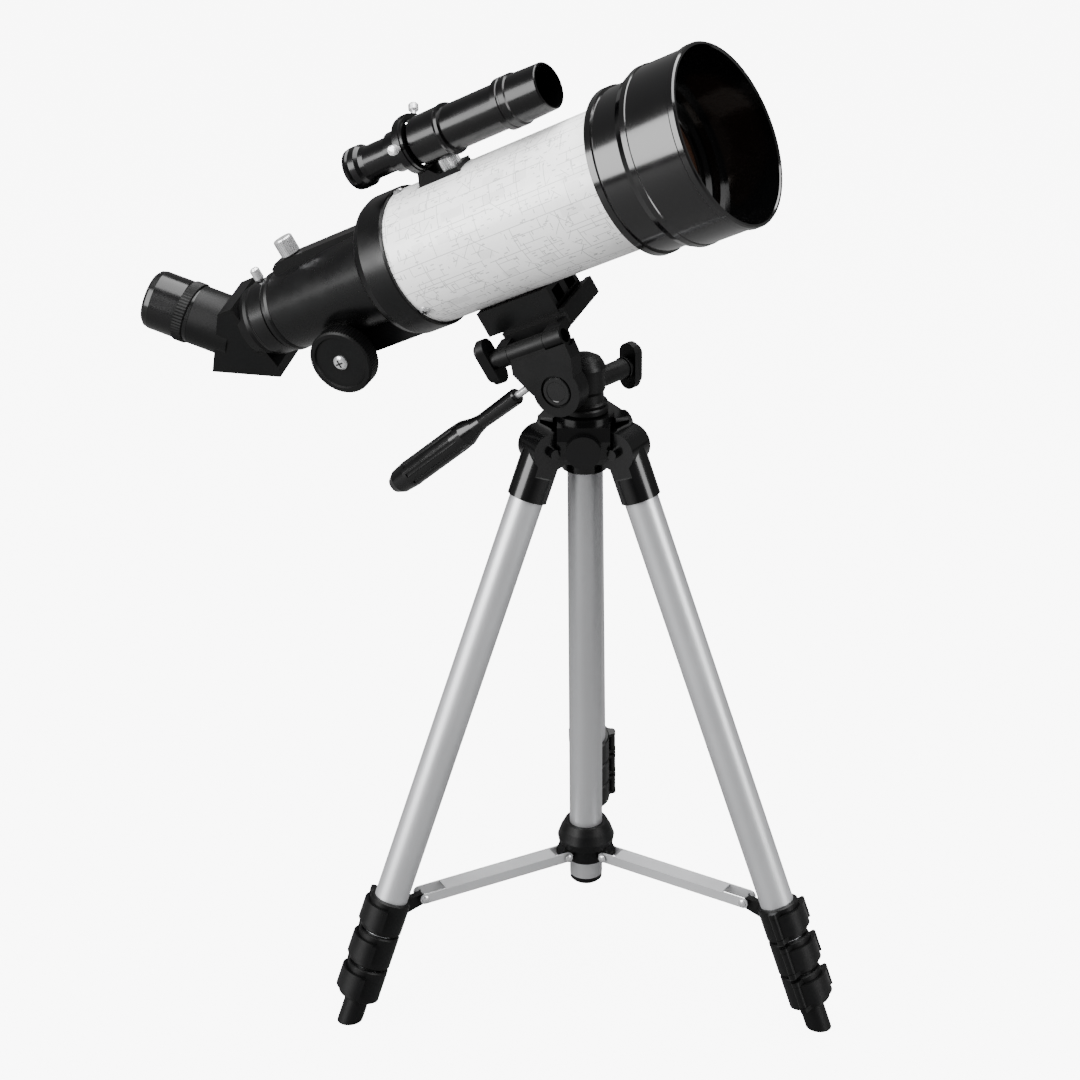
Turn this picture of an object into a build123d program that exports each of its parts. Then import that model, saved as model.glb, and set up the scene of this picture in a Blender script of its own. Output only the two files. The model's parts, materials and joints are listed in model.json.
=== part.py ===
"""Small refracting telescope on a folding camera tripod. Millimetres, +Z up.

The origin is on the floor, on the axis of the tripod's centre column. The three legs stand at
90, 210 and 330 degrees, and the telescope looks forward over the leg at 330 degrees.
"""
from build123d import *
from math import cos, pi, radians, sin
import os

os.makedirs("parts", exist_ok=True)

# ---------------------------------------------------------------- driving dimensions
HEADING = -25.5            # compass direction of the telescope, from +X
ELEVATION = 26.5           # tube axis above the horizontal
SIDE_TILT = 10.0           # the platform leans this far towards the near side
AXIS_HEIGHT = 490.0        # tube axis where it passes over the column
RIM_AHEAD = 95.9           # front rim ahead of that point, along the tube

TUBE_R = 40.0              # white main tube, outside
TUBE_WALL = 1.2
TUBE_FRONT = 50.0          # stations are distances behind the front rim
TUBE_REAR = 222.0
SHADE_R = 50.4             # dew shield
SHADE_REAR = 38.5
CELL_R = 46.5
CELL_REAR = 60.0
LENS_R = 35.4
RING_R = 42.0              # rear ring of the tube
RING_FRONT = 207.0
BODY_REAR = 312.0          # rear end of the focuser body
BODY_REAR_R = 24.2
DRAW_R = 17.8              # focuser drawtube
NOSE_R = 15.87             # 1.25 inch fittings
RUN = 0.06                 # radial clearance of a running fit
GAP = 0.3                  # clearance between faces that pass each other

PINION_AT = 274.0          # focuser pinion: station and depth below the tube axis
PINION_DROP = 31.0
PINION_TEETH = 14          # module 1
PINION_PITCH_R = PINION_TEETH / 2
KNOB_R = 20.0
KNOB_IN = 26.0
KNOB_OUT = 37.5

DIAGONAL_AT = 358.0        # where the eyepiece axis crosses the tube axis
DIAGONAL_TURN = 8.0
HOLDER_R = 18.4
EYEPIECE_END = 58.5        # eyepiece's end, along its own axis from the crossing

FINDER_RISE = 61.5         # finder axis above the tube axis
FINDER_SCREWS = (-75, 45, 128)    # round the finder, from the top towards the far side

BLOCK_FRONT = 137.0        # mounting block under the tube
BLOCK_REAR = 187.0
BLOCK_HALF = 17.0
PLATFORM_TOP = 53.7        # below the tube axis
PLATFORM_BOTTOM = 62.0
BARREL_DROP = 62.7         # side-tilt hinge, below and to the near side of the tube axis
BARREL_SIDE = -32.4
BARREL_R = 5.8
BOLT_R = 2.5

TILT_U = -4.0              # tilt axis: behind the column axis, and its height
TILT_Z = 382.0
PLATE_NEAR = -27.0         # tilt body between these sideways positions
PLATE_FAR = -15.5
AXLE_R = 4.0
HANDLE_DROP = 14.0

COLUMN_R = 10.0
COLUMN_BOTTOM = 55.0
CROWN_TOP = 362.0
CROWN_BOTTOM = 328.0
CROWN_R = 13.4
PAN_FLOOR = 366.8
PAN_R = 12.0
PAN_TOP = 391.0
PAN_LOCK_HEADING = 50.0
PAN_LOCK_Z = 378.0

LEGS = {1: 210.0, 2: 330.0, 3: 90.0}
SPREAD = 21.55             # legs from the vertical
HINGE_R = 26.0
HINGE_Z = 345.0
KNUCKLE_R = 11.7
KNUCKLE_HALF = 10.0
PIN_R = 3.0
LEG_R = [10.0, 8.9, 7.8, 6.7]     # the four telescoping sections
LEG_WALL = 0.7
LOCK_TOP = [288.5, 311.0, 333.5]  # along the leg from its hinge
LOCK_LENGTH = 21.0
LOCK_R = 12.4
FOOT_TOP = 356.0
FOOT_R = 7.3

ARM_Z = 72.0               # spreader arms lie level at this height
ARM_IN = 15.5
ARM_OUT = 112.0
ARM_HALF = 5.6
ARM_SHEET = 1.1
RIVET_R = 1.5

# ---------------------------------------------------------------- directions and planes
FORWARD = Vector(cos(radians(ELEVATION)) * cos(radians(HEADING)),
                 cos(radians(ELEVATION)) * sin(radians(HEADING)), sin(radians(ELEVATION)))
LEVEL = Vector(cos(radians(HEADING)), sin(radians(HEADING)), 0)
FAR = Vector(-sin(radians(HEADING)), cos(radians(HEADING)), 0)
UPRIGHT = FORWARD.cross(FAR)
RIM = Vector(0, 0, AXIS_HEIGHT) + FORWARD * RIM_AHEAD
TILT = LEVEL * TILT_U + Vector(0, 0, TILT_Z)


def leaned(angle):
    """Direction that is FAR turned about the tube axis, its far side rising by the angle."""
    return FAR * cos(radians(angle)) + UPRIGHT * sin(radians(angle))


def moved(plane, x=0.0, y=0.0, z=0.0):
    """The same plane with its origin moved in its own coordinates."""
    origin = plane.origin + plane.x_dir * x + plane.y_dir * y + plane.z_dir * z
    return Plane(origin=origin, x_dir=plane.x_dir, z_dir=plane.z_dir)


def across(plane, x=0.0):
    """Plane square to the given plane's X axis, x along it; its own X is the given plane's Y."""
    return Plane(origin=plane.origin + plane.x_dir * x, x_dir=plane.y_dir, z_dir=plane.x_dir)


def spoke(plane, x, angle):
    """Plane whose X axis leaves the given plane's X axis squarely, turned from up to the far side."""
    direction = plane.y_dir * cos(radians(angle)) + plane.z_dir * sin(radians(angle))
    return Plane(origin=plane.origin + plane.x_dir * x, x_dir=direction, z_dir=plane.x_dir)


# Side-view planes: X runs rearwards along an axis, Y is up from it, Z points to the far side.
TUBE = Plane(origin=RIM, x_dir=FORWARD * -1, z_dir=leaned(SIDE_TILT))
FINDER = moved(TUBE, y=FINDER_RISE)
BARREL = moved(TUBE, y=-BARREL_DROP, z=BARREL_SIDE)
HEAD = Plane(origin=TILT, x_dir=FORWARD * -1, z_dir=FAR)
TURNED = Plane(origin=RIM, x_dir=FORWARD * -1, z_dir=leaned(SIDE_TILT + DIAGONAL_TURN))
CROSSING = moved(TURNED, x=DIAGONAL_AT)
EYE = Plane(origin=CROSSING.origin, x_dir=CROSSING.x_dir + CROSSING.y_dir, z_dir=CROSSING.z_dir)
GRIP_START = moved(HEAD, x=19.3, y=6.7, z=-21.2)
HANDLE = Plane(origin=GRIP_START.origin,
               x_dir=HEAD.x_dir * cos(radians(HANDLE_DROP)) - HEAD.y_dir * sin(radians(HANDLE_DROP)),
               z_dir=HEAD.z_dir)
PAN_LOCK = Plane(origin=(0, 0, PAN_LOCK_Z),
                 x_dir=(cos(radians(PAN_LOCK_HEADING)), sin(radians(PAN_LOCK_HEADING)), 0),
                 z_dir=(sin(radians(PAN_LOCK_HEADING)), -cos(radians(PAN_LOCK_HEADING)), 0))
COLUMN = Plane(origin=(0, 0, 0), x_dir=(0, 0, 1), z_dir=(0, 1, 0))


def leg_plane(heading):
    """Side view of a leg: X runs down the leg from its hinge, Y is away from the column."""
    out = Vector(cos(radians(heading)), sin(radians(heading)), 0)
    side = Vector(-sin(radians(heading)), cos(radians(heading)), 0)
    down = out * sin(radians(SPREAD)) - Vector(0, 0, 1) * cos(radians(SPREAD))
    return Plane(origin=out * HINGE_R + Vector(0, 0, HINGE_Z), x_dir=down, z_dir=side * -1)


def radial_plane(heading):
    """Vertical plane through the column: X is away from the column, Y is up."""
    out = Vector(cos(radians(heading)), sin(radians(heading)), 0)
    return Plane(origin=(0, 0, 0), x_dir=out, z_dir=(sin(radians(heading)), -cos(radians(heading)), 0))


# ---------------------------------------------------------------- shapes added to the open piece
def turn(points, plane, mode=Mode.ADD):
    """Turned solid: (station, radius) outline revolved about the plane's X axis."""
    with BuildSketch(plane, mode=Mode.PRIVATE) as outline:
        with BuildLine():
            Polyline(*points, close=True)
        make_face()
    revolve(outline.sketch, axis=Axis(plane.origin, plane.x_dir), mode=mode)


def pipe(x0, x1, outer, inner, plane, mode=Mode.ADD):
    """Plain tube between two stations."""
    turn([(x0, inner), (x0, outer), (x1, outer), (x1, inner)], plane, mode)


def bar(x0, x1, radius, plane, mode=Mode.ADD):
    """Plain rod along the plane's X axis."""
    with BuildSketch(across(plane, x0), mode=Mode.PRIVATE) as disc:
        Circle(radius)
    extrude(disc.sketch, amount=x1 - x0, mode=mode)


def pin(plane, x, y, z0, z1, radius, mode=Mode.ADD):
    """Rod along the plane's Z axis at (x, y)."""
    with BuildSketch(plane.offset(z0), mode=Mode.PRIVATE) as disc:
        with Locations((x, y)):
            Circle(radius)
    extrude(disc.sketch, amount=z1 - z0, mode=mode)


def slab(points, plane, z0, z1, mode=Mode.ADD):
    """Outline in the plane, extruded between two heights along its Z axis."""
    with BuildSketch(plane.offset(z0), mode=Mode.PRIVATE) as outline:
        with BuildLine():
            Polyline(*points, close=True)
        make_face()
    extrude(outline.sketch, amount=z1 - z0, mode=mode)


def rect(x0, x1, y0, y1):
    """Corners of a rectangle."""
    return [(x0, y0), (x1, y0), (x1, y1), (x0, y1)]


def knurl(plane, x0, x1, radius, teeth, depth=0.5):
    """Cuts even grooves round a rod that lies along the plane's X axis."""
    with BuildSketch(across(plane, x0), mode=Mode.PRIVATE) as grooves:
        with PolarLocations(radius, teeth):
            Rectangle(2 * depth, radius * 1.4 / teeth * 2)
    extrude(grooves.sketch, amount=x1 - x0, mode=Mode.SUBTRACT)


def wing_knob(plane, x0, turned=0.0):
    """Wing knob along the plane's X axis: round hub, then a long rounded wing."""
    bar(x0, x0 + 4, 5.0, plane)
    with BuildSketch(across(plane, x0 + 3), mode=Mode.PRIVATE) as wing:
        SlotOverall(28, 12, rotation=turned)
    extrude(wing.sketch, amount=5)
    with BuildSketch(across(plane, x0 + 8), mode=Mode.PRIVATE) as crest:
        SlotOverall(24, 10, rotation=turned)
    extrude(crest.sketch, amount=2.5)


def finish(piece, name):
    """Labels a piece and writes its file."""
    piece.part.label = name
    export_step(piece.part, "parts/" + name + ".step")


# ================================================================ optical tube
with BuildPart() as dew_shield:
    turn([(0, SHADE_R + 0.3), (1, SHADE_R + 0.9), (4, SHADE_R + 0.9), (5, SHADE_R), (31, SHADE_R),
          (31.4, SHADE_R + 0.5), (34.6, SHADE_R + 0.5), (SHADE_REAR, SHADE_R - 1.2), (SHADE_REAR, CELL_R),
          (35.5, CELL_R), (35.5, SHADE_R - 2.0), (0.8, SHADE_R - 1.4), (0, SHADE_R - 1.0)], TUBE)
finish(dew_shield, "dew_shield")

with BuildPart() as lens_cell:
    turn([(35.6, 44.0), (35.6, CELL_R), (55.5, CELL_R), (56, CELL_R + 1.1), (CELL_REAR, CELL_R + 1.1),
          (CELL_REAR, TUBE_R), (TUBE_FRONT, TUBE_R), (TUBE_FRONT, LENS_R - 2), (48.4, LENS_R - 2),
          (48.4, LENS_R), (42.5, LENS_R), (42.5, LENS_R + 1.2), (40.5, LENS_R + 1.8),
          (40.5, 43.2)], TUBE)
finish(lens_cell, "lens_cell")

LENS_APEX = 41.7
LENS_SAG = 1.9
curve_r = (LENS_R ** 2 + LENS_SAG ** 2) / (2 * LENS_SAG)
mid_sag = curve_r - (curve_r ** 2 - LENS_R ** 2 / 4) ** 0.5
with BuildPart() as objective:
    with BuildSketch(TUBE):
        with BuildLine():
            Line((48.4, 0), (48.4, LENS_R))
            Line((48.4, LENS_R), (LENS_APEX + LENS_SAG, LENS_R))
            ThreePointArc((LENS_APEX + LENS_SAG, LENS_R), (LENS_APEX + mid_sag, LENS_R / 2), (LENS_APEX, 0))
            Line((LENS_APEX, 0), (48.4, 0))
        make_face()
    revolve(axis=Axis(TUBE.origin, TUBE.x_dir))
finish(objective, "objective")

with BuildPart() as optical_tube:
    pipe(TUBE_FRONT, TUBE_REAR, TUBE_R, TUBE_R - TUBE_WALL, TUBE)
    for angle in (0, 120, 240):
        bar(TUBE_R - 4, TUBE_R + 1, 1.5, spoke(TUBE, 203.5, angle), Mode.SUBTRACT)
finish(optical_tube, "optical_tube")

with BuildPart() as tube_screws:
    for angle in (0, 120, 240):
        turn([(TUBE_R - 3, 0), (TUBE_R - 3, 1.5), (TUBE_R + 0.1, 1.5), (TUBE_R + 0.1, 3.1),
              (TUBE_R + 1.0, 3.0), (TUBE_R + 1.9, 1.8), (TUBE_R + 2.1, 0)], spoke(TUBE, 203.5, angle))
finish(tube_screws, "tube_screws")

with BuildPart() as focuser_body:
    turn([(RING_FRONT, 12), (RING_FRONT, RING_R - 0.4), (208, RING_R), (224, RING_R), (228, RING_R - 1.5),
          (230.5, 38.5), (232, 34), (233, 29.7), (BODY_REAR, BODY_REAR_R), (BODY_REAR, 12)], TUBE)
    slab([(229, -12), (229, -39.2), (264, -39.2), (281, -37.5), (287, -31), (296, -20)], TUBE, -13, 13)
    pin(TUBE, PINION_AT, -PINION_DROP, -25.4, 25.4, 7.0)
    slab([(238, 20), (238, 30.8), (303, 30.8), (307, 28), (307, 20)], TUBE, -6, 6)
    turn([(RING_FRONT - 1, 0), (RING_FRONT - 1, TUBE_R), (TUBE_REAR, TUBE_R), (TUBE_REAR, 37.5),
          (231, 28), (270, 24.4), (286, 23), (286, DRAW_R + RUN), (BODY_REAR + 1, DRAW_R + RUN),
          (BODY_REAR + 1, 0)], TUBE, Mode.SUBTRACT)
    slab(rect(226, BODY_REAR + 1, -25.4, -12), TUBE, -4.4, 4.4, Mode.SUBTRACT)
    pin(TUBE, PINION_AT, -PINION_DROP, -5.4, 5.4, PINION_PITCH_R + 1.3, Mode.SUBTRACT)
    pin(TUBE, PINION_AT, -PINION_DROP, -30, 30, 2.0 + RUN, Mode.SUBTRACT)
    with BuildSketch(Plane(origin=TUBE.origin + TUBE.x_dir * 293, x_dir=TUBE.x_dir, z_dir=TUBE.y_dir)):
        Circle(2.0 + RUN)
    extrude(amount=40, mode=Mode.SUBTRACT)
finish(focuser_body, "focuser_body")

# ================================================================ focuser
RACK_PITCH_Y = -(PINION_DROP - PINION_PITCH_R)
with BuildPart() as drawtube:
    pipe(236, 317, DRAW_R, 16.4, TUBE)
    turn([(BODY_REAR + GAP, DRAW_R - 0.5), (BODY_REAR + GAP, 24.2), (314, 24.8), (316.4, 24.8), (317, 22.6),
          (318, 22.6), (318.6, 23.4), (328.6, 23.4), (329.2, 22.8), (331, 22.6), (331, NOSE_R + RUN),
          (303, NOSE_R + RUN), (303, DRAW_R - 0.5)], TUBE)
    slab(rect(238, 311, RACK_PITCH_Y + 1.25, -DRAW_R + 0.6), TUBE, -4, 4)
    for tooth in range(-11, 12):
        at = PINION_AT + pi * (tooth + 0.5)
        slab([(at - 0.8, RACK_PITCH_Y + 1.3), (at - 0.32, RACK_PITCH_Y - 0.75),
              (at + 0.32, RACK_PITCH_Y - 0.75), (at + 0.8, RACK_PITCH_Y + 1.3)], TUBE, -4, 4)
    with BuildSketch(Plane(origin=TUBE.origin + TUBE.x_dir * 323.6, x_dir=TUBE.x_dir, z_dir=TUBE.y_dir)):
        Circle(1.5 + RUN)
    extrude(amount=30, mode=Mode.SUBTRACT)
finish(drawtube, "drawtube")

with BuildPart() as focus_shaft:
    pin(TUBE, PINION_AT, -PINION_DROP, -KNOB_OUT + 2, KNOB_OUT - 2, 2.0)
    pin(TUBE, PINION_AT, -PINION_DROP, -5, 5, PINION_PITCH_R - 1.3)
    for tooth in range(PINION_TEETH):
        hub = moved(TUBE, PINION_AT, -PINION_DROP)
        tooth_plane = Plane(origin=hub.origin, x_dir=hub.x_dir.rotate(Axis((0, 0, 0), hub.z_dir),
                            90 + 360 / PINION_TEETH * tooth), z_dir=hub.z_dir)
        slab([(5.4, -0.85), (7.0, -0.62), (7.75, -0.3), (7.75, 0.3), (7.0, 0.62), (5.4, 0.85)],
             tooth_plane, -4, 4)
    for side in (-1, 1):
        pin(TUBE, PINION_AT, -PINION_DROP, side * (KNOB_OUT - 2), side * (KNOB_OUT - 0.4), 4.4)
finish(focus_shaft, "focus_shaft")

with BuildPart() as focus_knobs:
    for side in (-1, 1):
        face = moved(TUBE, PINION_AT, -PINION_DROP)
        axis_plane = Plane(origin=face.origin, x_dir=face.z_dir * side, z_dir=face.y_dir)
        turn([(KNOB_IN, 2.0), (KNOB_IN, KNOB_R - 1.5), (KNOB_IN + 1, KNOB_R), (KNOB_OUT - 1.2, KNOB_R),
              (KNOB_OUT, KNOB_R - 1.2), (KNOB_OUT, KNOB_R - 3.5), (KNOB_OUT - 1.2, KNOB_R - 4.2),
              (KNOB_OUT - 1.2, 4.6), (KNOB_OUT - 2, 4.6), (KNOB_OUT - 2, 2.0)], axis_plane)
        knurl(axis_plane, KNOB_IN - 1, KNOB_OUT + 1, KNOB_R + 0.1, 72, 0.45)
finish(focus_knobs, "focus_knobs")

LOCK = Plane(origin=TUBE.origin + TUBE.x_dir * 293, x_dir=TUBE.y_dir, z_dir=TUBE.z_dir)
with BuildPart() as focus_lock:
    bar(18.4, 32, 2.0, LOCK)
    turn([(31.1, 0), (31.1, 5.2), (31.8, 6.0), (41.2, 6.0), (42, 5.4), (42, 0)], LOCK)
    knurl(LOCK, 31, 43, 6.1, 30, 0.4)
finish(focus_lock, "focus_lock")

NOSE_LOCK = Plane(origin=TUBE.origin + TUBE.x_dir * 323.6, x_dir=TUBE.y_dir, z_dir=TUBE.z_dir)
with BuildPart() as nose_screw:
    bar(16.2, 26, 1.5, NOSE_LOCK)
    turn([(23.8, 0), (23.8, 2.4), (24.6, 3.0), (30.6, 3.0), (31.8, 2.0), (32, 0)], NOSE_LOCK)
finish(nose_screw, "nose_screw")

# ================================================================ star diagonal and eyepiece
with BuildPart() as diagonal:
    bar(306, 345, NOSE_R, TURNED)
    turn([(331 + GAP, 0), (331 + GAP, 21.6), (334, 22.2), (341, 20.6), (341, 0)], TURNED)
    slab([(338, 21.5), (349, 21.5), (380.5, -11.5), (338.6, -31), (335.5, -24)], TURNED, -17.5, 17.5)
    bar(1, 27.7, HOLDER_R, EYE)
    bar(305, 352, 13.6, TURNED, Mode.SUBTRACT)
    bar(-4, 30, 13.6, EYE, Mode.SUBTRACT)
    bar(7, 30, NOSE_R + RUN, EYE, Mode.SUBTRACT)
finish(diagonal, "diagonal")

with BuildPart() as eyepiece:
    turn([(9, 12.5), (9, NOSE_R), (28, NOSE_R), (28, 18.0), (28.6, 18.0), (35.6, 18.0), (36.2, 18.4),
          (53.5, 18.4), (56.5, 17.6), (EYEPIECE_END, 15.4), (EYEPIECE_END, 11.2), (53, 8.0), (50, 8.0),
          (50, 0), (46, 0), (46, 12.5)], EYE)
finish(eyepiece, "eyepiece")

# ================================================================ finder
STEM_FRONT = 163.0
STEM_REAR = 180.0
with BuildPart() as finder_scope:
    turn([(82.6, 12.2), (82.6, 12.9), (83.2, 13.3), (102.4, 13.9), (103, 14.8), (106.5, 14.8), (107, 14.3),
          (108, 14.3), (108.5, 14.8), (112, 14.8), (112.6, 13.0), (149.5, 13.0), (149.8, 14.6),
          (151.5, 14.9), (153.2, 14.3), (171.5, 14.1), (172, 11.9), (191, 11.7), (191.6, 10.0),
          (208, 10.0), (211, 10.6), (213, 12.2), (217, 12.4), (218, 11.6), (219, 12.4), (221.5, 12.0),
          (221.5, 7.5), (212, 6.5), (212, 0), (208, 0), (208, 8.6), (175, 9.5), (150, 11.2), (108, 11.8),
          (106, 11.8), (106, 0), (102, 0), (102, 12.2)], FINDER)
finish(finder_scope, "finder_scope")

with BuildPart() as finder_bracket:
    pipe(173.4, 180.4, 16.6, 13.7, FINDER)
    turn([(173.4, 16.0), (175.4, 16.0), (175.4, 17.2), (178.4, 17.2), (178.4, 16.0), (180.4, 16.0),
          (180.4, 15), (173.4, 15)], FINDER)
    slab([(172.8, 46.8), (180.4, 46.8), (184, 39), (STEM_FRONT - 8, 39), (STEM_FRONT - 8, 42.2), (168.5, 42.2)],
         TUBE, -8, 8)
    slab(rect(STEM_FRONT - 9, 185, 30, 39.5), TUBE, -8, 8)
    pipe(STEM_FRONT - 12, 188, TUBE_R, 20, TUBE, Mode.SUBTRACT)
    pipe(173.3, 180.5, 13.7, 2, FINDER, Mode.SUBTRACT)
    for angle in FINDER_SCREWS:
        bar(12, 20, 1.5, spoke(FINDER, 176.9, angle), Mode.SUBTRACT)
finish(finder_bracket, "finder_bracket")

with BuildPart() as finder_screws:
    for angle in FINDER_SCREWS:
        radial = spoke(FINDER, 176.9, angle)
        bar(11.9, 21, 1.5, radial)
        turn([(20.4, 0), (20.4, 2.4), (21, 2.9), (24, 2.9), (24.8, 2.2), (25, 0)], radial)
finish(finder_screws, "finder_screws")

# ================================================================ mounting block and platform
with BuildPart() as mounting_block:
    slab(rect(BLOCK_FRONT, BLOCK_REAR, -PLATFORM_TOP, -36), TUBE, -BLOCK_HALF, BLOCK_HALF)
    slab(rect(BLOCK_FRONT - 1, BLOCK_REAR + 1, -38.2, -30), TUBE, -BLOCK_HALF - 1, -11, Mode.SUBTRACT)
    slab(rect(BLOCK_FRONT - 1, BLOCK_REAR + 1, -38.2, -30), TUBE, 11, BLOCK_HALF + 1, Mode.SUBTRACT)
    pipe(BLOCK_FRONT - 2, BLOCK_REAR + 2, TUBE_R, 20, TUBE, Mode.SUBTRACT)
    for side in (-1, 1):
        slab(rect(BLOCK_FRONT - 1, BLOCK_FRONT + 14, -49.5, -41.5), TUBE, side * 8 - 5, side * 8 + 5,
             Mode.SUBTRACT)
    with BuildSketch(Plane(origin=TUBE.origin + TUBE.x_dir * 166 - TUBE.y_dir * 54, x_dir=TUBE.x_dir,
                           z_dir=TUBE.y_dir)):
        Circle(3.1)
    extrude(amount=8, mode=Mode.SUBTRACT)
finish(mounting_block, "mounting_block")

with BuildPart() as camera_platform:
    with BuildSketch(Plane(origin=TUBE.origin - TUBE.y_dir * PLATFORM_BOTTOM, x_dir=TUBE.x_dir,
                           z_dir=TUBE.y_dir)):
        with BuildLine():
            Polyline((131, -20), (136, -25), (172, -25), (177, -19), (177, 19), (172, 25), (136, 25),
                     (131, 20), close=True)
        make_face()
    extrude(amount=PLATFORM_BOTTOM - PLATFORM_TOP)
    slab(rect(131, 134.6, -PLATFORM_BOTTOM, -51.2), TUBE, -20, 20)
    for x0, x1 in ((131, 142.7), (168.3, 177)):
        bar(x0, x1, BARREL_R, BARREL)
        with BuildSketch(across(TUBE, x0)):
            with BuildLine():
                Polyline((-PLATFORM_BOTTOM - 0.7, BARREL_SIDE), (-PLATFORM_TOP - 3, BARREL_SIDE),
                         (-PLATFORM_TOP - 2, -22), (-PLATFORM_BOTTOM, -22), close=True)
            make_face()
        extrude(amount=x1 - x0)
    bar(130, 178, BOLT_R + RUN, BARREL, Mode.SUBTRACT)
    bar(130, 135, 4.0, BARREL, Mode.SUBTRACT)
    with BuildSketch(Plane(origin=TUBE.origin + TUBE.x_dir * 166 - TUBE.y_dir * 63, x_dir=TUBE.x_dir,
                           z_dir=TUBE.y_dir)):
        Circle(3.4)
    extrude(amount=12, mode=Mode.SUBTRACT)
finish(camera_platform, "camera_platform")

SCREW = Plane(origin=TUBE.origin + TUBE.x_dir * 166, x_dir=TUBE.y_dir, z_dir=TUBE.z_dir)
with BuildPart() as camera_screw:
    bar(-63, -47, 3.08, SCREW)
    bar(-65.4, -PLATFORM_BOTTOM, 9.0, SCREW)
    knurl(SCREW, -66, -61.9, 9.1, 36, 0.4)
finish(camera_screw, "camera_screw")

with BuildPart() as side_wing:
    bar(136, 180, BOLT_R, BARREL)
    wing_knob(BARREL, 177.6)
finish(side_wing, "side_wing")

# ================================================================ pan and tilt head
with BuildPart() as tilt_body:
    slab([(-18, 24), (20, 24), (22, 17), (15.5, 3), (6, -10), (-6, -10), (-13.5, 3), (-18, 15)], HEAD,
         PLATE_NEAR, PLATE_FAR)
    pin(HEAD, 0, 0, PLATE_NEAR, PLATE_FAR, 14.8)
    bar(143, 168, BARREL_R, BARREL)
    slab([(-4.5, 20), (20, 20), (20, 26), (-4.5, 26)], HEAD, -26.4, -16)
    bar(142, 169, BOLT_R + RUN, BARREL, Mode.SUBTRACT)
    pin(HEAD, 0, 0, PLATE_NEAR - 1, PLATE_FAR + 1, AXLE_R + RUN, Mode.SUBTRACT)
    pin(HEAD, 0, 0, PLATE_NEAR - 1, PLATE_NEAR + 1.6, 9.4, Mode.SUBTRACT)
    for x0, x1 in ((128, 143), (168, 180)):
        bar(x0, x1, BARREL_R + GAP, BARREL, Mode.SUBTRACT)
    bar(-15.8, 4, 2.2 + RUN, HANDLE, Mode.SUBTRACT)
finish(tilt_body, "tilt_body")

with BuildPart() as handle_rod:
    bar(-15, 20, 2.2, HANDLE)
finish(handle_rod, "handle_rod")

with BuildPart() as handle_grip:
    turn([(9.5, 0), (9.5, 4.4), (10.5, 4.9), (40, 4.4), (46, 5.4), (54, 7.8), (62, 8.3), (104, 8.3), (114, 7.4),
          (119, 5.0), (120.5, 0)], HANDLE)
    with BuildSketch(across(HANDLE, 58), mode=Mode.PRIVATE) as flutes:
        with PolarLocations(9.6, 8):
            Circle(2.0)
    extrude(flutes.sketch, amount=44, mode=Mode.SUBTRACT)
    bar(9, 20, 2.2, HANDLE, Mode.SUBTRACT)
finish(handle_grip, "handle_grip")

with BuildPart() as pan_post:
    turn([(PAN_FLOOR, 0), (PAN_FLOOR, 12.8), (PAN_FLOOR + 1.5, 13.2), (PAN_FLOOR + 2.5, 11.4), (374, 11.0),
          (376, PAN_R), (PAN_TOP - 2, PAN_R), (PAN_TOP, 11.4), (PAN_TOP + 3, 9.4), (PAN_TOP + 5, 5.5),
          (PAN_TOP + 5.6, 0)], COLUMN)
    pin(HEAD, 0, 0, PLATE_FAR + GAP, 0, 11.0)
    pin(HEAD, 0, 0, PLATE_NEAR + 1.7, 0, AXLE_R)
    bar(8, 33, 5.9, PAN_LOCK)
    bar(13, 34, BOLT_R + RUN, PAN_LOCK, Mode.SUBTRACT)
    bar(PAN_FLOOR - 1, 372, 5.0 + RUN, COLUMN, Mode.SUBTRACT)
finish(pan_post, "pan_post")

with BuildPart() as pan_wing:
    bar(13.5, 38, BOLT_R, PAN_LOCK)
    bar(33.3, 34.4, 6.5, PAN_LOCK)
    wing_knob(PAN_LOCK, 34.4)
finish(pan_wing, "pan_wing")

# ================================================================ crown and column
with BuildPart() as crown:
    pipe(CROWN_BOTTOM, CROWN_TOP, CROWN_R, COLUMN_R + RUN, COLUMN)
    pipe(CROWN_TOP - 4.5, CROWN_TOP, 17.0, COLUMN_R + RUN, COLUMN)
    for heading in (30, 150, 270):
        wedge = radial_plane(heading)
        slab([(12, 336), (18, 336), (20, 340), (23, 352), (22, 360), (12, 360)], wedge, -15, 15)
        bar(12, 27.5, 9.8, moved(wedge, y=347))
    for heading in LEGS.values():
        out = radial_plane(heading)
        slab([(CROWN_R, 320), (60, 320), (60, 359), (CROWN_R, 357.2)], out, -KNUCKLE_HALF - GAP,
             KNUCKLE_HALF + GAP, Mode.SUBTRACT)
    pipe(CROWN_BOTTOM, CROWN_TOP, CROWN_R, COLUMN_R + RUN, COLUMN)
    for heading in LEGS.values():
        pin(leg_plane(heading), 0, 0, -14.5, 14.5, PIN_R, Mode.SUBTRACT)
finish(crown, "crown")

with BuildPart() as hinge_pins:
    for heading in LEGS.values():
        pin(leg_plane(heading), 0, 0, -14, 14, PIN_R)
finish(hinge_pins, "hinge_pins")

with BuildPart() as column:
    pipe(COLUMN_BOTTOM, 362, COLUMN_R, COLUMN_R - 1.0, COLUMN)
finish(column, "column")

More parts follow.
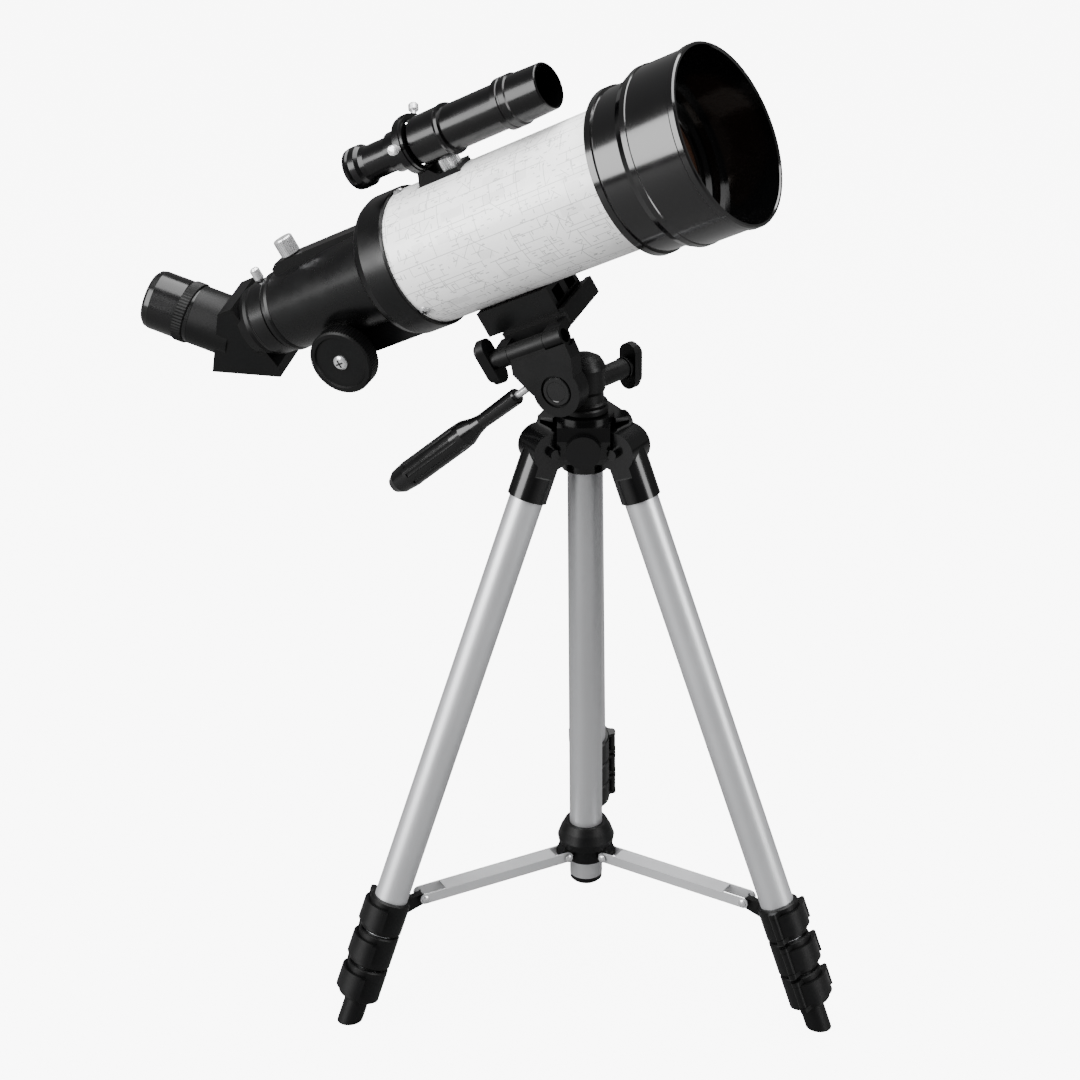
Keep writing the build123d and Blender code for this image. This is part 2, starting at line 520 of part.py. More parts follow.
with BuildPart() as column_ends:
    turn([(COLUMN_BOTTOM - 4, 0), (COLUMN_BOTTOM - 4, COLUMN_R - 1.2), (COLUMN_BOTTOM - 3, COLUMN_R - 0.2),
          (COLUMN_BOTTOM, COLUMN_R - 0.2), (COLUMN_BOTTOM, COLUMN_R - 1.0), (COLUMN_BOTTOM + 8, COLUMN_R - 1.0),
          (COLUMN_BOTTOM + 8, 0)], COLUMN)
    turn([(350, 0), (350, COLUMN_R - 1.0), (362.2, COLUMN_R - 1.0), (362.2, 13.0), (363, 13.6), (365.4, 13.6),
          (366.4, 13.0), (366.4, 5.0), (371, 5.0), (371, 0)], COLUMN)
finish(column_ends, "column_ends")

# ================================================================ legs
LEVER_IN = LOCK_R + GAP
LEVER_OUT = LEVER_IN + 2.2
PIVOT_TURN = 74.0
PIVOT_R = 14.6


def lock_collar(plane, top, bores):
    """Lock collar with two hinge ears and the lever's pin; bores are (x0, x1, radius)."""
    turn([(top, 2), (top, LOCK_R - 0.8), (top + 0.8, LOCK_R), (top + LOCK_LENGTH - 0.8, LOCK_R),
          (top + LOCK_LENGTH, LOCK_R - 0.8), (top + LOCK_LENGTH, 2)], plane)
    px = PIVOT_R * cos(radians(PIVOT_TURN))
    py = PIVOT_R * sin(radians(PIVOT_TURN))
    for x0, x1 in ((top + 0.6, top + 3.6), (top + 17.4, top + 20.4)):
        with BuildSketch(across(plane, x0), mode=Mode.PRIVATE) as ear:
            with Locations((px, py)):
                Circle(2.6)
            with BuildLine():
                Polyline((px - 2.6, py), (px + 2.6, py), (px + 4, 2), (px - 8, 2), close=True)
            make_face()
        extrude(ear.sketch, amount=x1 - x0)
    with BuildSketch(across(plane, top + 1), mode=Mode.PRIVATE) as hinge:
        with Locations((px, py)):
            Circle(1.2)
    extrude(hinge.sketch, amount=19)
    for x0, x1, radius in bores:
        bar(x0, x1, radius, plane, Mode.SUBTRACT)
    slab(rect(top - 1, top + LOCK_LENGTH + 1, -30, -11.7), plane, -20, 20, Mode.SUBTRACT)


def lever(plane, top):
    """Flip lever that wraps the outer side of a collar and turns on the collar's pin."""
    px = PIVOT_R * cos(radians(PIVOT_TURN))
    py = PIVOT_R * sin(radians(PIVOT_TURN))
    with BuildSketch(across(plane, top + 3.9), mode=Mode.PRIVATE) as band:
        Circle(LEVER_OUT)
        with BuildLine():
            Polyline((0, 0), (40 * cos(radians(68)), 40 * sin(radians(68))), (60, 0),
                     (40 * cos(radians(-58)), 40 * sin(radians(-58))), close=True)
        make_face(mode=Mode.INTERSECT)
        with Locations((px, py)):
            Circle(2.4)
        with Locations((LEVER_OUT * cos(radians(-57)), LEVER_OUT * sin(radians(-57)))):
            Rectangle(4.0, 2.6, rotation=-57)
        Circle(LEVER_IN, mode=Mode.SUBTRACT)
        with Locations((px, py)):
            Circle(1.2 + RUN, mode=Mode.SUBTRACT)
    extrude(band.sketch, amount=13.2)


def section(plane, number):
    """Telescoping tube of a leg's given section."""
    start = (20, 62, 76, 90)[number]
    end = (LOCK_TOP + [FOOT_TOP])[number] + 10
    pipe(start, end, LEG_R[number], LEG_R[number] - LEG_WALL, plane)


for leg, heading in LEGS.items():
    axis = leg_plane(heading)
    with BuildPart() as leg_socket:
        pin(axis, 0, 0, -KNUCKLE_HALF, KNUCKLE_HALF, KNUCKLE_R)
        bar(0, 31, 11.6, axis)
        pin(axis, 0, 0, -30, -KNUCKLE_HALF, 30, Mode.SUBTRACT)
        pin(axis, 0, 0, KNUCKLE_HALF, 30, 30, Mode.SUBTRACT)
        bar(16, 31, 11.6, axis)
        bar(20, 32, LEG_R[0], axis, Mode.SUBTRACT)
        pin(axis, 0, 0, -12, 12, PIN_R + RUN, Mode.SUBTRACT)
    finish(leg_socket, "leg%d_socket" % leg)

    with BuildPart() as leg_tube:
        section(axis, 0)
    finish(leg_tube, "leg%d_tube" % leg)

    with BuildPart() as leg_lock:
        lock_collar(axis, LOCK_TOP[0], [(LOCK_TOP[0] - 1, LOCK_TOP[0] + 10, LEG_R[0]),
                                        (LOCK_TOP[0] + 9, LOCK_TOP[0] + 22, LEG_R[1] + RUN)])
        slab([(285.5, -22.5), (290, -22.5), (300, -9.5), (LOCK_TOP[0], -9.5), (284, -19)], axis, -2.2, 2.2)
        bar(LOCK_TOP[0] - 8, LOCK_TOP[0] + 10, LEG_R[0], axis, Mode.SUBTRACT)
        bar(LOCK_TOP[0] + 9, LOCK_TOP[0] + 22, LEG_R[1] + RUN, axis, Mode.SUBTRACT)
    finish(leg_lock, "leg%d_lock" % leg)

    for number, name in ((1, "mid"), (2, "low")):
        top = LOCK_TOP[number]
        with BuildPart() as leg_section:
            lock_collar(axis, top, [(top - 1, top + 10, LEG_R[number] - 0.2),
                                    (top + 9, top + 22, LEG_R[number + 1] + RUN)])
            section(axis, number)
        finish(leg_section, "leg%d_%s" % (leg, name))

    with BuildPart() as leg_end:
        section(axis, 3)
        bar(FOOT_TOP, 380, FOOT_R, axis)
        with BuildSketch(Plane.XY):
            Rectangle(500, 500)
        extrude(amount=-30, mode=Mode.SUBTRACT)
    finish(leg_end, "leg%d_end" % leg)

    for number, name in enumerate(("a", "b", "c")):
        with BuildPart() as leg_lever:
            lever(axis, LOCK_TOP[number])
        finish(leg_lever, "leg%d_lever_%s" % (leg, name))

# ================================================================ spreader
with BuildPart() as spreader_hub:
    turn([(66.5, COLUMN_R + 0.3), (66.5, 11.8), (76, 11.8), (77.5, 16.6), (82, 17.4), (87.5, 15.4), (92, 13.0),
          (92, COLUMN_R + 0.3)], COLUMN)
    for heading in LEGS.values():
        slab([(11, 68.5), (15.5, 68.5), (18.5, 71), (18.5, 75), (16, 80), (11, 80)], radial_plane(heading),
             -4.0, 4.0)
    for heading in LEGS.values():
        pin(radial_plane(heading), ARM_IN, ARM_Z, -ARM_HALF - 1.2, ARM_HALF + 1.2, RIVET_R)
    bar(60, 110, COLUMN_R + 0.3, COLUMN, Mode.SUBTRACT)
finish(spreader_hub, "spreader_hub")

for leg, heading in LEGS.items():
    view = radial_plane(heading)
    with BuildPart() as arm:
        with BuildSketch(view.offset(-ARM_HALF)):
            with Locations(((ARM_IN + ARM_OUT) / 2, ARM_Z)):
                SlotOverall(ARM_OUT - ARM_IN + 6.4, 6.4)
        extrude(amount=2 * ARM_HALF)
        slab(rect(0, 130, ARM_Z - 10, ARM_Z + 3.2 - ARM_SHEET), view, -ARM_HALF + ARM_SHEET,
             ARM_HALF - ARM_SHEET, Mode.SUBTRACT)
        for x0, x1 in ((0, ARM_IN + 8), (ARM_OUT - 14, 130)):
            slab(rect(x0, x1, ARM_Z - 10, ARM_Z + 10), view, -ARM_HALF + ARM_SHEET, ARM_HALF - ARM_SHEET,
                 Mode.SUBTRACT)
        for x in (ARM_IN, ARM_OUT):
            pin(view, x, ARM_Z, -8, 8, RIVET_R + RUN, Mode.SUBTRACT)
    finish(arm, "arm%d" % leg)
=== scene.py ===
"""Looks for the small refracting telescope on its folding camera tripod, built round the CAD frame."""
import json
import math
import bmesh
import bpy
from mathutils import Matrix, Vector


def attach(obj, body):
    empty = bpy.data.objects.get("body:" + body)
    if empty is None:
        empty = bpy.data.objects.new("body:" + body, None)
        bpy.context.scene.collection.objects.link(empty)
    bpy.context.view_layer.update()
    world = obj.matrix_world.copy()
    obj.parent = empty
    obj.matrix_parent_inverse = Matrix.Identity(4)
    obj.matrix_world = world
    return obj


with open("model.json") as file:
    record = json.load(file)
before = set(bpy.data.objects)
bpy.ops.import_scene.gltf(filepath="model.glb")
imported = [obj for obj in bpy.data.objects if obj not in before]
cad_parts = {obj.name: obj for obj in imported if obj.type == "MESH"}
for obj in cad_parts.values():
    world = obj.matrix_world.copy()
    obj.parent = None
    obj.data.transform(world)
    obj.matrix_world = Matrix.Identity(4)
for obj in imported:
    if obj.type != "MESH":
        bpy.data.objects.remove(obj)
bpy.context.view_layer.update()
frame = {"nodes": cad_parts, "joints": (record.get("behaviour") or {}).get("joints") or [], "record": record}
NODES = frame["nodes"]
JOINTS = {j["name"]: j for j in frame["joints"]}
MOUNTS = {m["name"]: m for m in frame["record"]["mounts"]}
MM = 0.001
LEGS = (1, 2, 3)
SCREW_STATION = 203.5   # millimetres behind the dew shield's rim
SCREW_ANGLES = (0, 120, 240)
BRACKET_FOOT = (162.5, 42.0)
RIM_DEPTH = 2.5
EYEPIECE_REACH = 44.85
ARM_LENGTH = 96.5
FOLD_EDGE = math.radians(35)
FILL = 0.26             # light from all round
BACKDROP = 9.5          # brightness of the backdrop and the floor, as the camera sees them
FLOOR_GLOW = 8.4


# ------------------------------------------------------------------ directions, from the record
class Place:
    """Axes with an origin: at(x, y, z) gives the point those millimetres along them."""

    def __init__(self, origin, x_dir, z_dir):
        self.origin = Vector(origin)
        self.x = Vector(x_dir).normalized()
        self.z = Vector(z_dir).normalized()
        self.y = self.z.cross(self.x)

    def at(self, x=0.0, y=0.0, z=0.0):
        return self.origin + (self.x * x + self.y * y + self.z * z) * MM


FORWARD = Vector(JOINTS["side_tilt"]["axis"])
ACROSS = Vector(JOINTS["pinion_turn"]["axis"])
RIM = Vector(MOUNTS["dew_shield_rim"]["pos_m"]) + FORWARD * RIM_DEPTH * MM
TUBE = Place(RIM, -FORWARD, ACROSS)
eye_axis = Vector(MOUNTS["eyepiece_body"]["axis"])
EYE = Place(Vector(MOUNTS["eyepiece_body"]["pos_m"]) - eye_axis * EYEPIECE_REACH * MM, eye_axis, ACROSS)
FAR = -Vector(JOINTS["tilt_turn"]["axis"])
HEAD = Place(JOINTS["tilt_turn"]["pos_m"], -FORWARD, FAR)


# ------------------------------------------------------------------ materials
class Nodes:
    """Short ways of adding nodes to a material."""

    def __init__(self, name):
        self.material = bpy.data.materials.new(name)
        self.material.use_nodes = True
        self.tree = self.material.node_tree
        self.shader = self.tree.nodes["Principled BSDF"]
        self.place = self.tree.nodes.new("ShaderNodeTexCoord").outputs["Object"]

    def put(self, socket, value):
        if isinstance(value, bpy.types.NodeSocket):
            self.tree.links.new(value, socket)
        else:
            socket.default_value = value

    def math(self, operation, *values):
        node = self.tree.nodes.new("ShaderNodeMath")
        node.operation = operation
        for socket, value in zip(node.inputs, values):
            self.put(socket, value)
        return node.outputs[0]

    def dot(self, vector, direction):
        node = self.tree.nodes.new("ShaderNodeVectorMath")
        node.operation = "DOT_PRODUCT"
        self.put(node.inputs[0], vector)
        node.inputs[1].default_value = direction
        return node.outputs["Value"]

    def subtract(self, vector, point):
        node = self.tree.nodes.new("ShaderNodeVectorMath")
        node.operation = "SUBTRACT"
        self.put(node.inputs[0], vector)
        node.inputs[1].default_value = point
        return node.outputs["Vector"]

    def combine(self, x, y, z):
        node = self.tree.nodes.new("ShaderNodeCombineXYZ")
        for socket, value in zip(node.inputs, (x, y, z)):
            self.put(socket, value)
        return node.outputs[0]

    def noise(self, scale, detail=4.0, vector=None, roughness=0.55):
        node = self.tree.nodes.new("ShaderNodeTexNoise")
        self.put(node.inputs["Vector"], vector or self.place)
        node.inputs["Scale"].default_value = scale
        node.inputs["Detail"].default_value = detail
        node.inputs["Roughness"].default_value = roughness
        return node.outputs["Fac"]

    def spread(self, value, low, high, to_low, to_high):
        """Value between low and high, carried over to another range."""
        node = self.tree.nodes.new("ShaderNodeMapRange")
        for socket, number in zip(node.inputs, (value, low, high, to_low, to_high)):
            self.put(socket, number)
        return node.outputs["Result"]

    def mix(self, share, first, second):
        node = self.tree.nodes.new("ShaderNodeMix")
        node.data_type = "RGBA"
        self.put(node.inputs[0], share)
        for socket, colour in ((node.inputs[6], first), (node.inputs[7], second)):
            self.put(socket, (*colour, 1.0) if isinstance(colour, tuple) else colour)
        return node.outputs[2]

    def bump(self, height, strength, distance):
        node = self.tree.nodes.new("ShaderNodeBump")
        node.inputs["Strength"].default_value = strength
        node.inputs["Distance"].default_value = distance
        self.put(node.inputs["Height"], height)
        self.put(self.shader.inputs["Normal"], node.outputs[0])

    def set(self, **values):
        for name, value in values.items():
            socket = self.shader.inputs[name.replace("_", " ")]
            if isinstance(value, tuple) and len(value) == 3:
                value = (*value, 1.0)
            self.put(socket, value)


BLACK = (0.0012, 0.0012, 0.0013)
DEEP_BLACK = (0.001, 0.001, 0.0011)
MOULDED_BLACK = (0.0015, 0.0015, 0.0016)
SILVER = (0.42, 0.424, 0.435)
SHEET_SILVER = (0.5, 0.504, 0.515)
TUBE_METALLIC = 0.72


def axis_frame(nodes, place):
    """Station along an axis, distance from it and angle round it, for the shaded point."""
    local = nodes.subtract(nodes.place, place.origin)
    along = nodes.dot(local, place.x)
    up = nodes.dot(local, place.y)
    side = nodes.dot(local, place.z)
    radius = nodes.math("SQRT", nodes.math("ADD", nodes.math("MULTIPLY", up, up),
                                           nodes.math("MULTIPLY", side, side)))
    return along, radius, nodes.math("ARCTAN2", side, up)


def painted(name, colour, rough, grain=900.0, depth=0.00004, coat=0.0, dust=0.25, gloss=0.2):
    """Painted or moulded surface: fine grain, slightly uneven gloss, faint marks of handling."""
    n = Nodes(name)
    smears = n.noise(28.0, 5.0)
    n.set(Base_Color=n.mix(n.spread(smears, 0.35, 0.75, 0.0, dust), colour,
                           tuple(min(1.0, c * 1.6 + 0.0006) for c in colour)),
          Roughness=n.spread(n.noise(60.0, 6.0), 0.3, 0.7, rough * 0.85, rough * 1.2))
    n.set(Specular_IOR_Level=gloss, Coat_Weight=coat, Coat_Roughness=0.09)
    n.bump(n.noise(grain, 3.0), 0.35, depth)
    return n.material


def anodised(name, place, colour=SILVER):
    """Satin anodised aluminium tube: draw lines along it, soft clouding, fine grain."""
    n = Nodes(name)
    along, _, angle = axis_frame(n, place)
    drawn = n.combine(n.math("MULTIPLY", along, 12.0), n.math("MULTIPLY", angle, 26.0), 0.0)
    lines = n.noise(1.0, 3.0, drawn)
    cloud = n.noise(14.0, 3.0)
    n.set(Base_Color=n.mix(n.spread(lines, 0.3, 0.7, 0.0, 1.0), tuple(c * 0.95 for c in colour), colour),
          Roughness=n.spread(cloud, 0.3, 0.7, 0.36, 0.46), Metallic=TUBE_METALLIC)
    n.bump(n.noise(2600.0, 2.0), 0.25, 0.00003)
    return n.material


def chrome(name, colour, rough):
    n = Nodes(name)
    n.set(Base_Color=n.mix(n.noise(300.0), colour, tuple(c * 0.82 for c in colour)),
          Roughness=n.spread(n.noise(500.0, 5.0), 0.3, 0.7, rough * 0.7, rough * 1.6),
          Metallic=0.75)
    n.bump(n.noise(1500.0, 2.0), 0.15, 0.000006)
    return n.material


def tube_paint():
    """White enamel with a pale grey print of plain panel lines round the tube."""
    n = Nodes("white_tube")
    along, _, angle = axis_frame(n, TUBE)
    wrap = n.combine(n.math("MULTIPLY", along, 1000.0), n.math("MULTIPLY", angle, 40.0), 0.0)

    def bricks(width, height, line, offset, vector, squash=0.6):
        """Brick texture's joint lines, and a random number for each brick."""
        node = n.tree.nodes.new("ShaderNodeTexBrick")
        n.put(node.inputs["Vector"], vector)
        node.offset = offset
        node.squash = squash
        node.squash_frequency = 3
        for key, value in (("Scale", 1.0), ("Mortar Size", line), ("Mortar Smooth", 0.1),
                           ("Bias", 0.0), ("Brick Width", width), ("Row Height", height)):
            node.inputs[key].default_value = value
        for key, value in (("Color1", 0.0), ("Color2", 1.0), ("Mortar", 0.0)):
            node.inputs[key].default_value = (value, value, value, 1.0)
        return node.outputs["Fac"], node.outputs["Color"]

    def where(scale, limit):
        return n.math("GREATER_THAN", n.noise(scale, 1.0, wrap), limit)

    run, turn = n.math("MULTIPLY", along, 707.0), n.math("MULTIPLY", angle, 28.3)
    slanted = n.combine(n.math("ADD", run, turn), n.math("SUBTRACT", run, turn), 0.0)
    large, _ = bricks(31.0, 14.0, 0.24, 0.37, wrap)
    middle, tint = bricks(15.0, 5.6, 0.2, 0.43, wrap)
    corner, _ = bricks(12.0, 12.0, 0.2, 0.5, slanted)
    _, dash = bricks(2.6, 0.9, 0.12, 0.31, wrap, 1.0)
    _, stroke = bricks(0.8, 3.4, 0.1, 0.23, wrap, 1.0)
    lines = n.math("MULTIPLY", large, where(0.04, 0.4))
    for layer, mask in ((middle, where(0.05, 0.52)), (corner, where(0.06, 0.58)),
                        (n.math("GREATER_THAN", dash, 0.955), where(0.1, 0.42)),
                        (n.math("GREATER_THAN", stroke, 0.965), where(0.12, 0.5))):
        lines = n.math("MAXIMUM", lines, n.math("MULTIPLY", layer, mask))
    fill = n.math("MULTIPLY", n.math("GREATER_THAN", tint, 0.9), 0.16)
    share = n.math("MAXIMUM", n.math("MULTIPLY", lines, 0.6), fill)
    n.set(Base_Color=n.mix(share, (0.8, 0.8, 0.795), (0.1, 0.104, 0.108)),
          Roughness=n.spread(n.noise(90.0, 5.0), 0.3, 0.7, 0.24, 0.34),
          Coat_Weight=0.35, Coat_Roughness=0.08)
    n.bump(n.noise(700.0, 2.0), 0.15, 0.00003)
    return n.material


def coated_glass():
    """Objective lens: a glossy coat with a faint amber tint over a dark brown base colour. The dark base is
    painted shade standing for the dark tube seen through the clear glass, and its patches of warmer brown
    are a painted reflection of the coating.
    """
    n = Nodes("coated_lens")
    painted_warmth = n.noise(9.0, 1.0)
    # base colour: dark brown painted shade for the tube behind the glass, with noise patches of painted
    # reflection in warmer brown
    n.set(Base_Color=n.mix(painted_warmth, (0.010, 0.007, 0.006), (0.035, 0.018, 0.012)),
          Roughness=n.spread(n.noise(40.0, 3.0), 0.3, 0.7, 0.02, 0.05),
          Coat_Weight=1.0, Coat_Roughness=0.015, Coat_Tint=(1.0, 0.86, 0.74), IOR=1.75)
    return n.material


def two_finish(name, place, limit, outer_rough=0.42, inner_rough=0.4):
    """One solid with a moulded collar outside the limit radius and a drawn tube inside it."""
    n = Nodes(name)
    _, radius, _ = axis_frame(n, place)
    tube = n.math("LESS_THAN", radius, limit * MM)
    grain = n.spread(n.noise(70.0, 5.0), 0.3, 0.7, 0.9, 1.15)
    rough = n.math("ADD", n.math("MULTIPLY", tube, inner_rough - outer_rough), outer_rough)
    n.set(Base_Color=n.mix(tube, MOULDED_BLACK, SILVER), Roughness=n.math("MULTIPLY", rough, grain),
          Metallic=n.math("MULTIPLY", tube, TUBE_METALLIC))
    n.set(Specular_IOR_Level=0.16)
    n.bump(n.noise(1100.0, 3.0), 0.35, 0.00004)
    return n.material


gloss_black = painted("gloss_black", (0.0008, 0.0008, 0.0009), 0.14, 500.0, 0.00001, 0.3, 0.15, 0.45)
barrel_black = painted("barrel_black", DEEP_BLACK, 0.22, 800.0, 0.000008, 0.08, 0.2, 0.26)
body_black = painted("body_black", BLACK, 0.28, 900.0, 0.000012, 0.0, 0.25, 0.25)
moulded_black = painted("moulded_black", MOULDED_BLACK, 0.4, 1200.0, 0.00006, 0.0, 0.25, 0.16)
crown_black = painted("crown_black", DEEP_BLACK, 0.2, 700.0, 0.000008, 0.1, 0.15, 0.32)
rubber_black = painted("rubber_black", (0.002, 0.002, 0.002), 0.5, 1600.0, 0.00008, 0.0, 0.25, 0.16)
# flat black used as painted shade: the dark hollow of a driver recess in a screw head
recess_painted_shade = painted("recess_painted_shade", (0.003, 0.003, 0.003), 0.6)
bright_steel = chrome("bright_steel", (0.55, 0.55, 0.56), 0.2)
nut_steel = chrome("nut_steel", (0.66, 0.66, 0.67), 0.24)

finishes = {
    "dew_shield": gloss_black, "lens_cell": gloss_black, "objective": coated_glass(),
    "optical_tube": tube_paint(), "tube_screws": bright_steel, "focuser_body": body_black,
    "drawtube": body_black, "focus_shaft": bright_steel, "focus_knobs": moulded_black,
    "focus_lock": nut_steel, "nose_screw": nut_steel, "diagonal": moulded_black, "eyepiece": barrel_black,
    "finder_scope": barrel_black, "finder_bracket": barrel_black, "finder_screws": nut_steel,
    "mounting_block": body_black, "camera_platform": moulded_black, "camera_screw": moulded_black,
    "side_wing": moulded_black, "tilt_body": moulded_black, "handle_rod": bright_steel,
    "handle_grip": crown_black, "pan_post": moulded_black, "pan_wing": moulded_black, "crown": crown_black,
    "hinge_pins": crown_black, "column_ends": moulded_black, "spreader_hub": moulded_black,
    "column": anodised("column_silver", Place((0, 0, 0), (0, 0, 1), (0, 1, 0))),
}
SECTION_LIMIT = {"mid": 9.3, "low": 8.2, "end": 6.9}   # radius of each section's drawn tube
for k in LEGS:
    fold = JOINTS["leg_fold_%d" % k]
    down = Vector(JOINTS["leg%d_mid_slide" % k]["axis"])
    leg_axis = Place(fold["pos_m"], down, -Vector(fold["axis"]))
    finishes["leg%d_socket" % k] = crown_black
    finishes["leg%d_tube" % k] = anodised("leg%d_silver" % k, leg_axis)
    outward = Vector(fold["axis"]).cross(Vector((0, 0, 1)))
    arm_axis = Place(JOINTS["arm_fold_%d" % k]["pos_m"], outward, fold["axis"])
    finishes["arm%d" % k] = anodised("arm%d_silver" % k, arm_axis, SHEET_SILVER)
    finishes["leg%d_lock" % k] = moulded_black
    for part, limit in SECTION_LIMIT.items():
        finishes["leg%d_%s" % (k, part)] = two_finish("leg%d_%s_finish" % (k, part), leg_axis, limit)
    for letter in "abc":
        finishes["leg%d_lever_%s" % (k, letter)] = moulded_black
for name, material in finishes.items():
    slots = NODES[name].data.materials
    slots.clear()
    slots.append(material)


# ------------------------------------------------------------------ small pieces
def add(name, build, place, body, material):
    """Makes a piece from bmesh geometry in millimetres, puts it at a place and lets it ride on a body."""
    mesh = bpy.data.meshes.new(name)
    shape = bmesh.new()
    build(shape)
    bmesh.ops.recalc_face_normals(shape, faces=shape.faces)
    shape.to_mesh(mesh)
    shape.free()
    turned = Matrix((place.x, place.y, place.z)).transposed().to_4x4()
    mesh.transform(Matrix.Translation(place.origin) @ turned @ Matrix.Scale(MM, 4))
    mesh.materials.append(material)
    for polygon in mesh.polygons:
        polygon.use_smooth = True
    mesh.set_sharp_from_angle(angle=FOLD_EDGE)
    piece = bpy.data.objects.new(name, mesh)
    bpy.context.scene.collection.objects.link(piece)
    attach(piece, body)


def ring_points(shape, x, radius, segments, cut_at):
    """One ring of vertices about X, each cut in by cut_at(angle)."""
    points = []
    for i in range(segments):
        angle = 2 * math.pi * i / segments
        reach = max(radius - cut_at(angle), 0.0)
        points.append(shape.verts.new((x, reach * math.cos(angle), reach * math.sin(angle))))
    return points


def join_rings(shape, rings):
    """Faces between each ring and the next."""
    for first, second in zip(rings, rings[1:]):
        for i in range(len(first)):
            j = (i + 1) % len(first)
            shape.faces.new((first[i], first[j], second[j], second[i]))


def lathe(profile, segments=64, ribs=0, depth=0.0):
    """Turned shape about X from (x, radius) points; ribs cut even flutes where the radius is largest."""
    widest = max(radius for _, radius in profile)

    def build(shape):
        rings = []
        for x, radius in profile:
            fluted = depth if ribs and radius > widest - 0.2 else 0.0
            rings.append(ring_points(shape, x, radius, segments,
                                     lambda angle: fluted * (0.5 - 0.5 * math.cos(ribs * angle))))
        join_rings(shape, rings)
        shape.faces.new(rings[0])
        shape.faces.new(rings[-1])
    return build


def band(x0, x1, outer, inner, ribs, depth, segments):
    """Open sleeve about X with ribs round its outer side."""
    def build(shape):
        profile = [(x0, inner), (x0, outer - 0.4), (x0 + 0.4, outer), (x1 - 0.4, outer),
                   (x1, outer - 0.4), (x1, inner)]
        rings = []
        for x, radius in profile:
            ribbed = depth if radius > inner + 0.1 else 0.0
            rings.append(ring_points(shape, x, radius, segments,
                                     lambda angle: ribbed * (0.5 - 0.5 * math.cos(ribs * angle))))
        join_rings(shape, rings + rings[:1])
    return build


def cross(x0, x1, reach, half):
    """Driver recess shown as a cross of painted shade lying in a screw's face, square to X."""
    def build(shape):
        outline = [(half, half), (reach, half), (reach, -half), (half, -half),
                   (half, -reach), (-half, -reach), (-half, -half), (-reach, -half),
                   (-reach, half), (-half, half), (-half, reach), (half, reach)]
        lower = [shape.verts.new((x0, y, z)) for y, z in outline]
        upper = [shape.verts.new((x1, y, z)) for y, z in outline]
        shape.faces.new(lower)
        shape.faces.new(upper[::-1])
        for i in range(len(outline)):
            j = (i + 1) % len(outline)
            shape.faces.new((lower[i], upper[i], upper[j], lower[j]))
    return build


def spoke(place, station, angle):
    """Place whose X axis leaves the given place's X axis squarely, turned from up to the far side."""
    turn = math.radians(angle)
    out = place.y * math.cos(turn) + place.z * math.sin(turn)
    return Place(place.at(station), out, place.x)


# tilt hinge: cap in the near face's recess
cap = [(25.6, 8.4), (26.6, 8.4), (27.1, 7.9), (27.1, 6.0), (26.8, 5.6), (26.8, 0.02)]
add("tilt_cap", lathe(cap, 96), Place(HEAD.at(), -HEAD.z, HEAD.y), "tilt", crown_black)

# finder bracket: knurled nut on its foot
nut = [(0.1, 5.9), (0.7, 6.0), (6.6, 6.0), (7.3, 5.4), (7.3, 2.6), (9.0, 2.3), (9.2, 0.02)]
add("bracket_nut", lathe(nut, 144, 24, 0.5), Place(TUBE.at(*BRACKET_FOOT), TUBE.y, TUBE.z), "tube",
    nut_steel)

# eyepiece: ribbed rubber band
add("eyepiece_grip", band(28.8, 35.4, 19.4, 18.05, 60, 0.45, 240), EYE, "eyepiece", rubber_black)

# screws: driver recesses, shown as crosses of painted shade
for angle in SCREW_ANGLES:
    at = spoke(TUBE, SCREW_STATION, angle)
    add("tube_screw_recess_shade_%d" % angle, cross(41.2, 42.16, 1.9, 0.34), at, "tube", recess_painted_shade)
knob_head = [(36.2, 4.2), (37.4, 4.2), (38.3, 3.2), (38.6, 0.02)]
for label, side in (("near", -1), ("far", 1)):
    end = Place(JOINTS["pinion_turn"]["pos_m"], ACROSS * side, TUBE.y)
    add("knob_screw_" + label, lathe(knob_head), end, "pinion", bright_steel)
    # dark cross of painted shade for the knob screw's driver recess
    add("knob_recess_shade_" + label, cross(37.6, 38.64, 2.4, 0.45), end, "pinion", recess_painted_shade)

# spreader: rivet heads at both ends of each arm, and how far out of its middle they start
RIVETS = (("inner", 0.0, 6.82), ("outer", ARM_LENGTH, 5.65))
for k in LEGS:
    fold = JOINTS["arm_fold_%d" % k]
    side_dir = Vector(fold["axis"])
    out = side_dir.cross(Vector((0, 0, 1)))
    for label, distance, start in RIVETS:
        head = [(start, 2.5), (start + 0.5, 2.4), (start + 1.0, 1.6), (start + 1.15, 0.02)]
        for letter, sign in (("a", -1), ("b", 1)):
            at = Place(Vector(fold["pos_m"]) + out * distance * MM, side_dir * sign, out)
            add("arm%d_rivet_%s_%s" % (k, label, letter), lathe(head, 40), at, "arm%d" % k,
                bright_steel)


# ------------------------------------------------------------------ floor, light and camera
def seen_directly(tree):
    """1 for what the camera sees itself, 0 for light that arrives by way of another surface."""
    return tree.nodes.new("ShaderNodeLightPath").outputs["Is Camera Ray"]


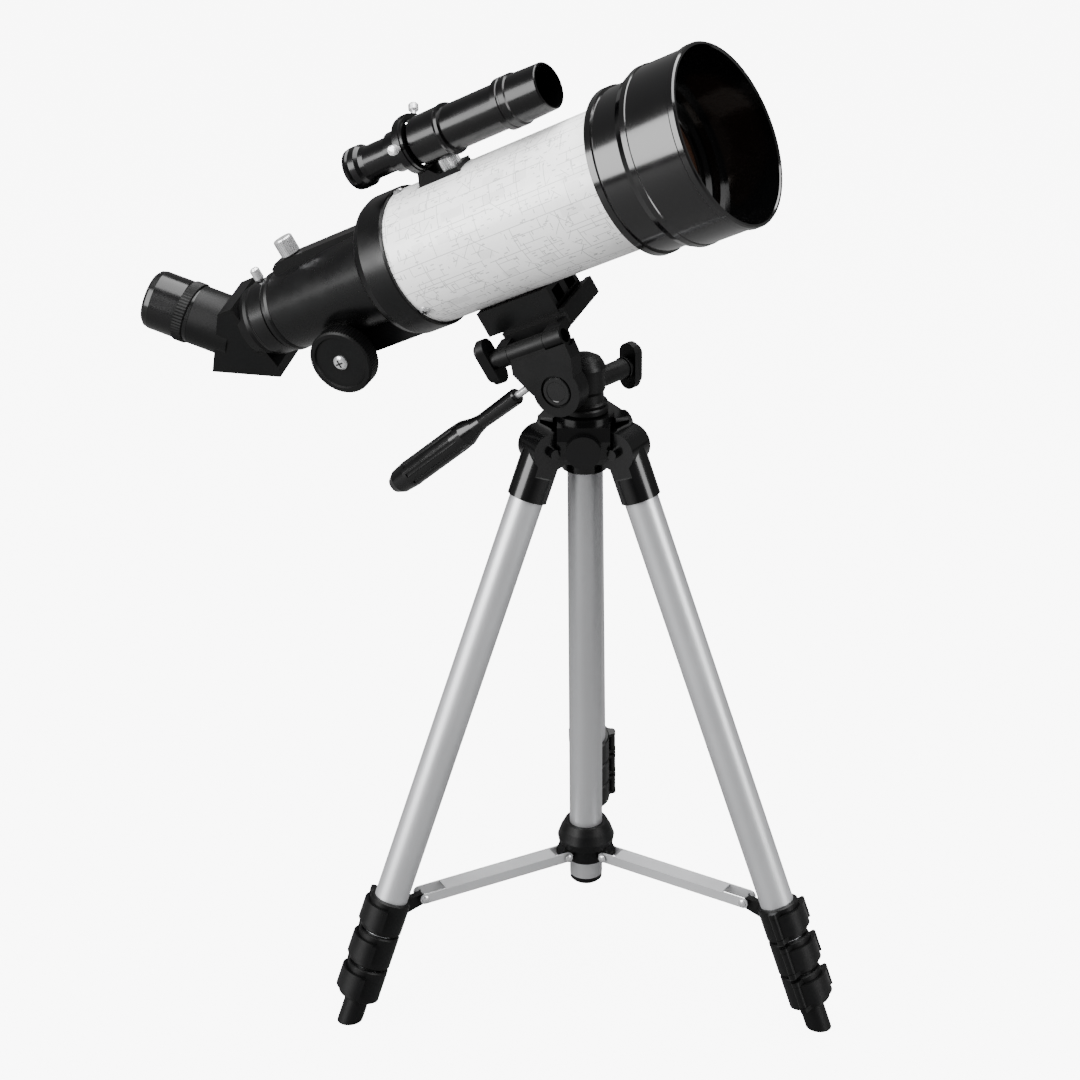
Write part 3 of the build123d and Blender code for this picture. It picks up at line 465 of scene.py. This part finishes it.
bpy.ops.mesh.primitive_plane_add(size=30.0, location=(0, 0, -0.0002))
floor = bpy.context.object
floor.name = "floor"
floor_paint = Nodes("floor_white")
pale = floor_paint.mix(floor_paint.noise(3.0), (0.12, 0.12, 0.12), (0.117, 0.117, 0.117))
glow = floor_paint.math("MULTIPLY", seen_directly(floor_paint.tree), FLOOR_GLOW)
floor_paint.set(Base_Color=pale, Roughness=0.7, Emission_Color=(1.0, 1.0, 1.0), Emission_Strength=glow)
floor.data.materials.append(floor_paint.material)

world = bpy.data.worlds.new("studio")
bpy.context.scene.world = world
world.use_nodes = True
backdrop = world.node_tree.nodes["Background"]
backdrop.inputs["Color"].default_value = (1.0, 1.0, 1.0, 1.0)
brightness = world.node_tree.nodes.new("ShaderNodeMapRange")
world.node_tree.links.new(seen_directly(world.node_tree), brightness.inputs["Value"])
brightness.inputs["To Min"].default_value = FILL
brightness.inputs["To Max"].default_value = BACKDROP
world.node_tree.links.new(brightness.outputs["Result"], backdrop.inputs["Strength"])


def softbox(name, place, width, height, power):
    """Rectangular light that faces the middle of the object."""
    light = bpy.data.lights.new(name, "AREA")
    light.shape = "RECTANGLE"
    light.size = width
    light.size_y = height
    light.energy = power
    lamp = bpy.data.objects.new(name, light)
    bpy.context.scene.collection.objects.link(lamp)
    lamp.location = place
    lamp.rotation_euler = (MIDDLE - Vector(place)).to_track_quat("-Z", "Y").to_euler()


MIDDLE = Vector((0, 0, 0.4))
softbox("key", (-1.8, -1.15, 1.3), 1.6, 2.2, 160)
softbox("side", (1.7, -0.9, 1.1), 0.9, 1.8, 62)
softbox("top", (0.1, 0.2, 2.1), 1.9, 1.9, 125)

camera_data = bpy.data.cameras.new("camera")
camera = bpy.data.objects.new("camera", camera_data)
bpy.context.scene.collection.objects.link(camera)
bpy.context.scene.camera = camera
camera_data.sensor_width = 36.0
camera_data.lens = 81.15
camera_data.clip_end = 50.0
CAMERA_AT = (0.03155, -1.28491, 0.87670)
CAMERA_ROLL = -0.0122
view = Vector((-0.0407, 0.9064, -0.4204)).normalized()
level = view.cross(Vector((0, 0, 1))).normalized()
above = level.cross(view)
right = level * math.cos(CAMERA_ROLL) + above * math.sin(CAMERA_ROLL)
turned = Matrix((right, right.cross(view), -view)).transposed().to_4x4()
camera.matrix_world = Matrix.Translation(CAMERA_AT) @ turned
